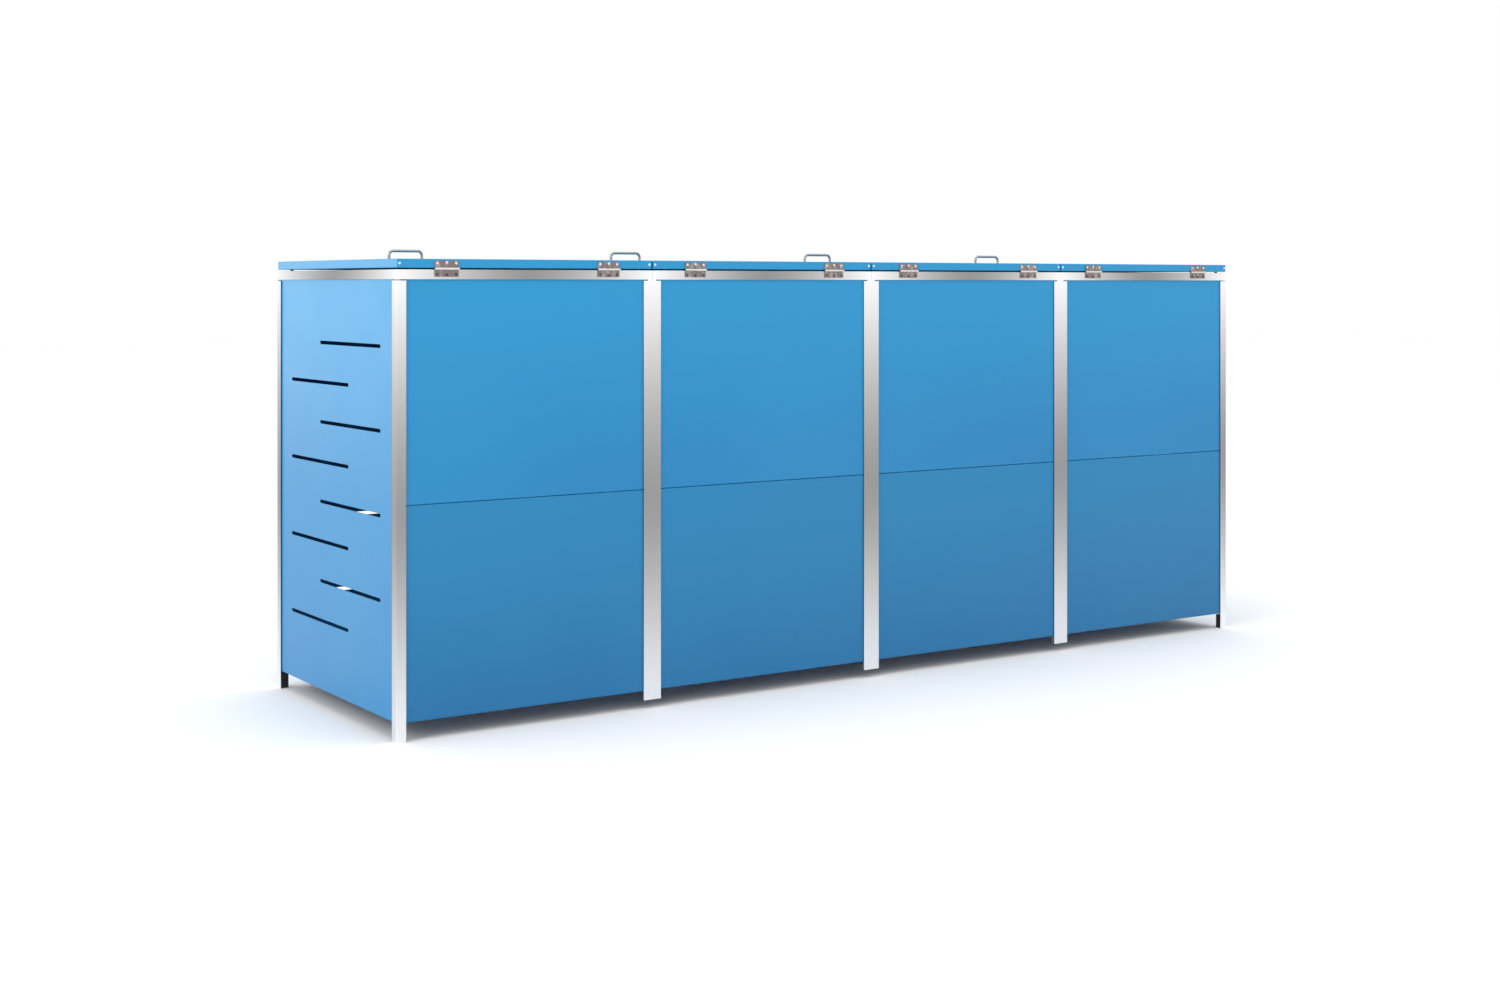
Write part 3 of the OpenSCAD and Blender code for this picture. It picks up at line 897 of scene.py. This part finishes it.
@dataclass(frozen=True)
class BowHandle:
    """A bow handle of round rod."""

    diameter: float = 8 * MM
    bend: float = 12 * MM
    end_round: float = 0.4 * MM
    sides: int = 20
    arc_steps: int = 8

    def make(self, span: float, rise: float, turn: Matrix) -> bpy.types.Mesh:
        """Bend the rod.

        Args:
            span: The distance between the legs' middle lines.
            rise: The height of the rod's middle line over the sheet.
            turn: Where the handle stands: X along it and Z off the sheet.

        Returns:
            The handle's mesh.
        """
        bm = bmesh.new()
        made = bmesh.ops.create_circle(bm, segments=self.sides, radius=self.diameter / 2, cap_ends=True)
        bmesh.ops.translate(bm, vec=(-span / 2, 0, 0), verts=made["verts"])
        loop = list(bm.edges)
        across = Vector((0, 1, 0))
        loop = self.push(bm, loop, Vector((0, 0, rise - self.bend)))
        loop = self.swing(bm, loop, Vector((self.bend - span / 2, 0, rise - self.bend)), across)
        loop = self.push(bm, loop, Vector((span - 2 * self.bend, 0, 0)))
        loop = self.swing(bm, loop, Vector((span / 2 - self.bend, 0, rise - self.bend)), across)
        loop = self.push(bm, loop, Vector((0, 0, self.bend - rise)))
        bmesh.ops.contextual_create(bm, geom=loop)
        round_edges(bm, sharp_edges(bm), self.end_round, segments=2)
        bmesh.ops.transform(bm, matrix=turn, verts=bm.verts)
        return mesh_of(bm)

    @staticmethod
    def push(bm: bmesh.types.BMesh, loop: list[bmesh.types.BMEdge],
             move: Vector) -> list[bmesh.types.BMEdge]:
        """Extrude a loop straight on.

        Args:
            bm: The mesh that holds it.
            loop: The loop's edges.
            move: How far and which way.

        Returns:
            The new loop's edges.
        """
        made = bmesh.ops.extrude_edge_only(bm, edges=loop)["geom"]
        verts = [item for item in made if isinstance(item, bmesh.types.BMVert)]
        bmesh.ops.translate(bm, vec=move, verts=verts)
        kept = set(verts)
        edges = [item for item in made if isinstance(item, bmesh.types.BMEdge)]
        return [edge for edge in edges if kept.issuperset(edge.verts)]

    def swing(self, bm: bmesh.types.BMesh, loop: list[bmesh.types.BMEdge], centre: Vector,
              axis: Vector) -> list[bmesh.types.BMEdge]:
        """Spin a loop through a quarter turn.

        Args:
            bm: The mesh that holds it.
            loop: The loop's edges.
            centre: A point on the turn's axis.
            axis: The direction of that axis.

        Returns:
            The new loop's edges.
        """
        made = bmesh.ops.spin(bm, geom=loop, cent=centre, axis=axis, angle=math.pi / 2,
                              steps=self.arc_steps, use_duplicate=False)["geom_last"]
        return [item for item in made if isinstance(item, bmesh.types.BMEdge)]


@dataclass(frozen=True)
class CrossScrew:
    """A pan-head screw with a cross recess."""

    radius: float = 3.4 * MM
    height: float = 1.5 * MM
    sides: int = 12
    rises: tuple[tuple[float, float], ...] = ((0.55, 1.0), (0.3, 0.88), (0.15, 0.8), (0.0, 0.8))
    waist: float = 0.4
    recess: float = 0.55
    recess_taper: float = 0.6

    def add(self, bm: bmesh.types.BMesh, turn: Matrix) -> None:
        """Add one screw's head.

        Args:
            bm: The mesh that it is added to.
            turn: Where its head sits: Z off the sheet.
        """
        half_step = Matrix.Rotation(math.pi / self.sides, 4, "Z")
        made = bmesh.ops.create_circle(bm, segments=self.sides, radius=self.radius, cap_ends=True,
                                       matrix=half_step)
        verts = list(made["verts"])
        face = verts[0].link_faces[0]
        for rise, scale in self.rises:
            face = self.step(bm, face, rise * self.height, scale, verts)
        for vert in face.verts:
            if math.isclose(abs(vert.co.x), abs(vert.co.y), rel_tol=0.01):
                vert.co.x *= self.waist
                vert.co.y *= self.waist
        self.step(bm, face, -self.recess * self.height, self.recess_taper, verts)
        close_base(bm, made["verts"])
        bmesh.ops.transform(bm, matrix=turn, verts=verts)

    @staticmethod
    def step(bm: bmesh.types.BMesh, face: bmesh.types.BMFace, rise: float, scale: float,
             verts: list[bmesh.types.BMVert]) -> bmesh.types.BMFace:
        """Extrude the top face by one step.

        Args:
            bm: The mesh that holds it.
            face: The top face.
            rise: How far it is lifted.
            scale: How much it shrinks.
            verts: The head's vertices, to which the new ones are added.

        Returns:
            The new top face.
        """
        made = bmesh.ops.extrude_discrete_faces(bm, faces=[face])["faces"][0]
        bmesh.ops.scale(bm, vec=(scale, scale, 1.0), verts=made.verts)
        bmesh.ops.translate(bm, vec=(0, 0, rise), verts=made.verts)
        verts.extend(made.verts)
        return made


@dataclass(frozen=True)
class DomeRivet:
    """The dome head of a blind rivet."""

    radius: float = 3.3 * MM
    height: float = 1.3 * MM
    sides: int = 14
    rings: int = 4

    def add(self, bm: bmesh.types.BMesh, turn: Matrix) -> None:
        """Add one rivet's head.

        Args:
            bm: The mesh that it is added to.
            turn: Where its head sits: Z off the sheet.
        """
        made = bmesh.ops.create_circle(bm, segments=self.sides, radius=self.radius, cap_ends=True)
        verts = list(made["verts"])
        face = verts[0].link_faces[0]
        for ring in range(self.rings):
            here, there = (math.pi / 2 * step / (self.rings + 1) for step in (ring, ring + 1))
            rise = self.height * (math.sin(there) - math.sin(here))
            face = CrossScrew.step(bm, face, rise, math.cos(there) / math.cos(here), verts)
        close_base(bm, made["verts"])
        bmesh.ops.transform(bm, matrix=turn, verts=verts)


def seat(place: Vector, away: Side, spin: float = 0.0) -> Matrix:
    """The frame of a fastener: its Z axis leaves the sheet.

    Args:
        place: The middle of its seat.
        away: The direction in which it faces.
        spin: How far it is turned about its axis, in radians.

    Returns:
        The matrix from the fastener's own frame to the row frame.
    """
    lean = Vector((0, 0, 1)).rotation_difference(away.vector).to_matrix().to_4x4()
    return Matrix.Translation(place) @ lean @ Matrix.Rotation(spin, 4, "Z")


@dataclass(frozen=True)
class HandleFixing:
    """What holds a handle's leg: a collar outside and a washer and screw inside."""

    collar_radius: float = 6.2 * MM
    collar_height: float = 1.4 * MM
    washer_radius: float = 7 * MM
    washer_height: float = 1.2 * MM
    screw: CrossScrew = CrossScrew(4.2 * MM, 2.2 * MM)
    screw_turn: float = 0.4
    sides: int = 24
    chamfer: float = 0.35

    def place(self, shop: Workshop, name: str, body: str, feet: list[Vector], outside: Side,
              inside: Side, sheet: float) -> None:
        """Fix a handle's legs.

        Args:
            shop: The workshop that places the piece.
            name: The piece's name.
            body: The body that it moves with.
            feet: Where the legs' middle lines meet the sheet's outer face.
            outside: The side of the sheet on which the handle stands.
            inside: The side of the screws' heads.
            sheet: The sheet's thickness.
        """
        bm = bmesh.new()
        for foot in feet:
            back = foot + inside.vector * sheet
            self.disc(bm, seat(foot, outside), self.collar_radius, self.collar_height)
            self.disc(bm, seat(back, inside), self.washer_radius, self.washer_height)
            head = back + inside.vector * self.washer_height
            self.screw.add(bm, seat(head, inside, self.screw_turn))
        shop.place(name, mesh_of(bm), Finish.ZINC, body)

    def disc(self, bm: bmesh.types.BMesh, turn: Matrix, radius: float, height: float) -> None:
        """Add a flat disc with a chamfered rim.

        Args:
            bm: The mesh that it is added to.
            turn: Where it sits: Z off the sheet.
            radius: Its radius.
            height: Its height.
        """
        verts = bmesh.ops.create_cone(bm, cap_ends=True, segments=self.sides, radius1=radius,
                                      radius2=radius, depth=height,
                                      matrix=Matrix.Translation((0, 0, height / 2)))["verts"]
        rim = [edge for edge in {edge for vert in verts for edge in vert.link_edges}
               if all(vert.co.z > height / 2 for vert in edge.verts)]
        made = bmesh.ops.bevel(bm, geom=rim, offset=self.chamfer * height, affect="EDGES", segments=2,
                               profile=0.5, material=-1)["verts"]
        verts = list({vert for vert in (*verts, *made) if vert.is_valid})
        bmesh.ops.transform(bm, matrix=turn, verts=verts)


@dataclass
class ButtHinges:
    """The leaves, pins and screws of the butt hinges."""

    shop: Workshop
    softened: RoundedSection = RoundedSection(0.5 * MM, 0.25 * MM, 0.8 * MM)
    screw: CrossScrew = CrossScrew()
    screw_spread: float = 24 * MM
    screw_reach: float = 13 * MM
    middle_screw_shift: float = 1.5 * MM
    screw_turn: float = 0.3
    turn_step: float = 0.7
    half_length: float = 31 * MM
    knuckle_radius: float = 3 * MM
    # Half-height of the painted highlight band along the knuckles.
    painted_highlight_reach: float = 3.2 * MM
    face_depth: float = 4.7 * MM

    def build(self) -> None:
        """Make the leaves and pins, and put in the screws."""
        self.shop.place("fixed_hinge_leaves_formed", self.soften("fixed_hinge_leaves"), Finish.HINGE,
                        FRAME_BODY, ("fixed_hinge_leaves",))
        self.shop.dress("hinge_pins", Finish.ZINC)
        fixed = bmesh.new()
        for bay in BAYS:
            for kind in ("lid", "door"):
                node = f"{kind}_hinge_leaves_{bay}"
                self.shop.place(f"{node}_formed", self.soften(node), Finish.HINGE, f"{kind}_{bay}", (node,))
                moving = bmesh.new()
                for place, along, out, side in self.pins(kind, bay):
                    self.screws(moving, place, along, out, side)
                    self.screws(fixed, place, along, -out, side)
                self.shop.place(f"{kind}_hinge_screws_{bay}", mesh_of(moving), Finish.RIVET,
                                f"{kind}_{bay}")
        self.shop.place("fixed_hinge_screws", mesh_of(fixed), Finish.DARK_SCREW, FRAME_BODY)

    def soften(self, node: str) -> bpy.types.Mesh:
        """A node's leaves with softened edges."""
        return self.softened.make(self.shop.copy(node))

    def pins(self, kind: str, bay: int) -> list[tuple[Vector, Vector, Vector, Side]]:
        """The hinges of a lid or door.

        Args:
            kind: "lid" or "door".
            bay: The bay's number.

        Returns:
            For each hinge its middle on the leaves' face, the direction of its pin, the
            direction in which its moving leaf lies, and the side that it faces.
        """
        low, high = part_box(f"{kind}_hinge_leaves_{bay}")
        if kind == "lid":
            half = Vector((self.half_length, 0, 0))
            middle = Vector((0, high.y - self.face_depth, low.z + self.knuckle_radius))
            ends = (Vector((low.x, 0, 0)) + half, Vector((high.x, 0, 0)) - half)
            return [(middle + end, Vector((1, 0, 0)), Vector((0, 0, 1)), Side.REAR) for end in ends]
        half = Vector((0, 0, self.half_length))
        middle = Vector((low.x + self.knuckle_radius, low.y + self.face_depth, 0))
        ends = (Vector((0, 0, low.z)) + half, Vector((0, 0, high.z)) - half)
        return [(middle + end, Vector((0, 0, 1)), Vector((1, 0, 0)), Side.FRONT) for end in ends]

    def screws(self, bm: bmesh.types.BMesh, place: Vector, along: Vector, out: Vector, side: Side) -> None:
        """Put three screws in one leaf, the middle one a little further out.

        Args:
            bm: The mesh that they are added to.
            place: The hinge's middle on the leaf's face.
            along: The direction of its pin.
            out: The direction in which the leaf lies.
            side: The side that it faces.
        """
        for step in (-1, 0, 1):
            reach = self.screw_reach + (self.middle_screw_shift if step == 0 else 0.0)
            spot = place + along * (step * self.screw_spread) + out * reach
            self.screw.add(bm, seat(spot, side, self.screw_turn + self.turn_step * step))


@dataclass
class Lids:
    """The lids with their handles, screws and rivets."""

    shop: Workshop
    sheet: float = 1.2 * MM
    bend: float = 2.2 * MM
    lip: float = 13.2 * MM
    rivet: DomeRivet = DomeRivet()
    rivet_side: float = 6.5 * MM
    rivet_drop: float = 10.5 * MM
    handle: BowHandle = BowHandle()
    fixing: HandleFixing = HandleFixing()

    def build(self) -> None:
        """Make every lid."""
        for bay in BAYS:
            node = f"lid_{bay}"
            low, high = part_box(node)
            mesh = FoldedTray(low, high, Side.TOP, self.sheet, self.bend, self.lip).make()
            self.shop.place(f"{node}_folded", mesh, Finish.BLUE, node, (node,))
            self.add_rivets(bay, low, high)
            self.add_handle(bay)

    def add_rivets(self, bay: int, low: Vector, high: Vector) -> None:
        """Rivet the corners of the skirt.

        Args:
            bay: The bay's number.
            low: The lid's lowest corner.
            high: The lid's highest corner.
        """
        bm = bmesh.new()
        for x in (low.x + self.rivet_side, high.x - self.rivet_side):
            z = high.z - self.rivet_drop
            self.rivet.add(bm, seat(Vector((x, high.y, z)), Side.REAR))
            self.rivet.add(bm, seat(Vector((x, low.y, z)), Side.FRONT))
        self.shop.place(f"lid_rivets_{bay}", mesh_of(bm), Finish.RIVET, f"lid_{bay}")

    def add_handle(self, bay: int) -> None:
        """Bend the handle in the place of its node.

        Args:
            bay: The bay's number.
        """
        node = f"lid_handle_{bay}"
        low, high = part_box(node)
        rod = self.handle.diameter
        turn = Matrix.Translation(((low.x + high.x) / 2, (low.y + high.y) / 2, low.z))
        span = high.x - low.x - rod
        mesh = self.handle.make(span, high.z - low.z - rod / 2, turn)
        self.shop.place(f"{node}_bent", mesh, Finish.HANDLE, f"lid_{bay}", (node,))
        feet = [turn @ Vector((side * span / 2, 0, 0)) for side in (-1, 1)]
        self.fixing.place(self.shop, f"lid_handle_fixings_{bay}", f"lid_{bay}", feet,
                          Side.TOP, Side.UNDER, self.sheet)


@dataclass
class Doors:
    """The doors with their handles and locks."""

    shop: Workshop
    sheet: float = 1 * MM
    bend: float = 2 * MM
    slots: SlotColumn = SlotColumn(350 * MM, 58 * MM, 245 * MM, 129 * MM)
    handle: BowHandle = BowHandle()
    fixing: HandleFixing = HandleFixing()
    lock_hole: float = 9.1 * MM
    softened: RoundedSection = RoundedSection(0.5 * MM, 0.25 * MM, 0.4 * MM)

    def build(self) -> None:
        """Make every door."""
        for bay in BAYS:
            node = f"door_{bay}"
            low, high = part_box(node)
            cuts = self.slots.boxes(low, high, Axis.X, Axis.Y, low.y, 1)
            cuts.append(self.lock_opening(bay))
            mesh = FoldedTray(low, high, Side.FRONT, self.sheet, self.bend, slots=cuts).make()
            self.shop.place(f"{node}_folded", mesh, Finish.BLUE, node, (node,))
            self.add_handle(bay)
            self.add_lock(bay)

    def lock_opening(self, bay: int) -> tuple[Vector, Vector]:
        """The box of the lock's hole, which the cut's round ends make a circle.

        Args:
            bay: The bay's number.

        Returns:
            The box's lowest and highest corners.
        """
        low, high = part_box(f"lock_body_{bay}")
        middle = (low + high) / 2
        middle.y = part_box(f"door_{bay}")[0].y
        half = Vector((self.lock_hole, self.slots.depth, self.lock_hole))
        return middle - half, middle + half

    def add_handle(self, bay: int) -> None:
        """Bend the upright handle in the place of its node.

        Args:
            bay: The bay's number.
        """
        node = f"door_handle_{bay}"
        low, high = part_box(node)
        rod = self.handle.diameter
        lean = Matrix.Rotation(math.pi / 2, 4, "X") @ Matrix.Rotation(math.pi / 2, 4, "Z")
        turn = Matrix.Translation(((low.x + high.x) / 2, high.y, (low.z + high.z) / 2)) @ lean
        span = high.z - low.z - rod
        mesh = self.handle.make(span, high.y - low.y - rod / 2, turn)
        self.shop.place(f"{node}_bent", mesh, Finish.HANDLE, f"door_{bay}", (node,))
        feet = [turn @ Vector((side * span / 2, 0, 0)) for side in (-1, 1)]
        self.fixing.place(self.shop, f"door_handle_fixings_{bay}", f"door_{bay}", feet,
                          Side.FRONT, Side.REAR, self.sheet)

    def add_lock(self, bay: int) -> None:
        """Make the lock's body and its turning plug.

        Args:
            bay: The bay's number.
        """
        for part, body in (("lock_body", f"door_{bay}"), ("lock_plug", f"lock_{bay}")):
            node = f"{part}_{bay}"
            mesh = self.softened.make(self.shop.copy(node))
            self.shop.place(f"{node}_turned", mesh, Finish.LOCK, body, (node,))


# ------------------------------------------------------------------- studio


@dataclass(frozen=True)
class Softbox:
    """A square softbox: where it hangs, the point that it faces, its side and its power in watts."""

    name: str
    place: tuple[float, float, float]
    target: tuple[float, float, float]
    side: float
    power: float

    def hang(self) -> bpy.types.Object:
        """Hang the softbox.

        Returns:
            The light.
        """
        data = bpy.data.lights.new(self.name, "AREA")
        data.size = self.side
        data.energy = self.power
        light = bpy.data.objects.new(self.name, data)
        bpy.context.scene.collection.objects.link(light)
        light.location = self.place
        facing = Vector(self.target) - Vector(self.place)
        light.rotation_euler = facing.to_track_quat("-Z", "Y").to_euler()
        return light


@dataclass
class Studio:
    """A pale floor, soft lights and the camera."""

    depth_middle: float
    painted: bpy.types.Collection
    camera_place: tuple[float, float, float] = (3.2225, 4.605, 1.0655)
    camera_heading: float = -2.1612
    lens: float = 46.92
    sensor: float = 36.0
    drop: float = -0.1439
    sight: float = 200.0
    floor_side: float = 60.0
    floor_colour: Colour = (1.0, 1.0, 1.0)
    floor_roughness: float = 0.8
    floor_specular: float = 0.1
    sky_strength: float = 1.0
    key: Softbox = Softbox("key_softbox", place=(7.0, 2.2, 3.6), target=(1.2, 0.0, 0.7),
                           side=3.0, power=95.0)
    sheen: Softbox = Softbox("side_softbox", place=(4.6, -8.0, 1.7), target=(1.4, 0.0, 0.9),
                             side=4.0, power=60.0)
    ceiling: Softbox = Softbox("top_softbox", place=(0.0, 1.0, 6.5), target=(0.0, 0.0, 0.0),
                               side=6.0, power=90.0)

    def build(self) -> None:
        """Set up floor, sky, lights and camera. The sheen's softbox lights the painted sheets only."""
        self.add_floor()
        self.add_sky()
        self.key.hang()
        self.sheen.hang().light_linking.receiver_collection = self.painted
        self.ceiling.hang()
        self.add_camera()
        bpy.context.scene.view_settings.view_transform = "Standard"

    def add_floor(self) -> None:
        """Lay the floor."""
        bm = bmesh.new()
        bmesh.ops.create_grid(bm, x_segments=1, y_segments=1, size=self.floor_side / 2)
        mesh = bpy.data.meshes.new("floor")
        bm.to_mesh(mesh)
        bm.free()
        floor = bpy.data.objects.new("floor", mesh)
        bpy.context.scene.collection.objects.link(floor)
        graph = Graph("pale_floor")
        graph.shader.inputs["Base Color"].default_value = (*self.floor_colour, 1.0)
        graph.shader.inputs["Roughness"].default_value = self.floor_roughness
        graph.shader.inputs["Specular IOR Level"].default_value = self.floor_specular
        mesh.materials.append(graph.material)

    def add_sky(self) -> None:
        """Light the whole room evenly."""
        world = bpy.data.worlds.new("studio")
        world.use_nodes = True
        sky = world.node_tree.nodes["Background"]
        sky.inputs["Color"].default_value = (1.0, 1.0, 1.0, 1.0)
        sky.inputs["Strength"].default_value = self.sky_strength
        bpy.context.scene.world = world

    def add_camera(self) -> None:
        """Set up a level camera behind the store's +X corner."""
        data = bpy.data.cameras.new("camera")
        data.lens = self.lens
        data.sensor_width = self.sensor
        data.shift_y = self.drop
        data.clip_end = self.sight
        camera = bpy.data.objects.new("camera", data)
        bpy.context.scene.collection.objects.link(camera)
        x, y, z = self.camera_place
        camera.location = (x, y + self.depth_middle, z)
        camera.rotation_euler = (math.pi / 2, 0.0, self.camera_heading - math.pi / 2)
        bpy.context.scene.camera = camera


def main() -> None:
    """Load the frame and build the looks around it."""
    logging.basicConfig(level=logging.INFO, format="%(name)s %(message)s")
    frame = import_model()
    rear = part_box("rear_top_rails")
    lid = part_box("lid_1")
    bay_length = (rear[1].x - rear[0].x) / len(BAYS)
    painted = bpy.data.collections.new("painted_sheets")
    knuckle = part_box("lid_hinge_leaves_1")[0].z + ButtHinges.knuckle_radius
    book = FinishBook(bay_length, (lid[0].y, lid[1].y), lid[1].z, knuckle)
    shop = Workshop(frame["nodes"], book, painted)
    SteelFrame(shop).build()
    Panels(shop).build()
    Lids(shop).build()
    Doors(shop).build()
    ButtHinges(shop).build()
    Studio((lid[0].y + lid[1].y) / 2, painted).build()
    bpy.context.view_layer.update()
    LOG.info("%d pieces made", shop.count)


if __name__ == "__main__":
    main()
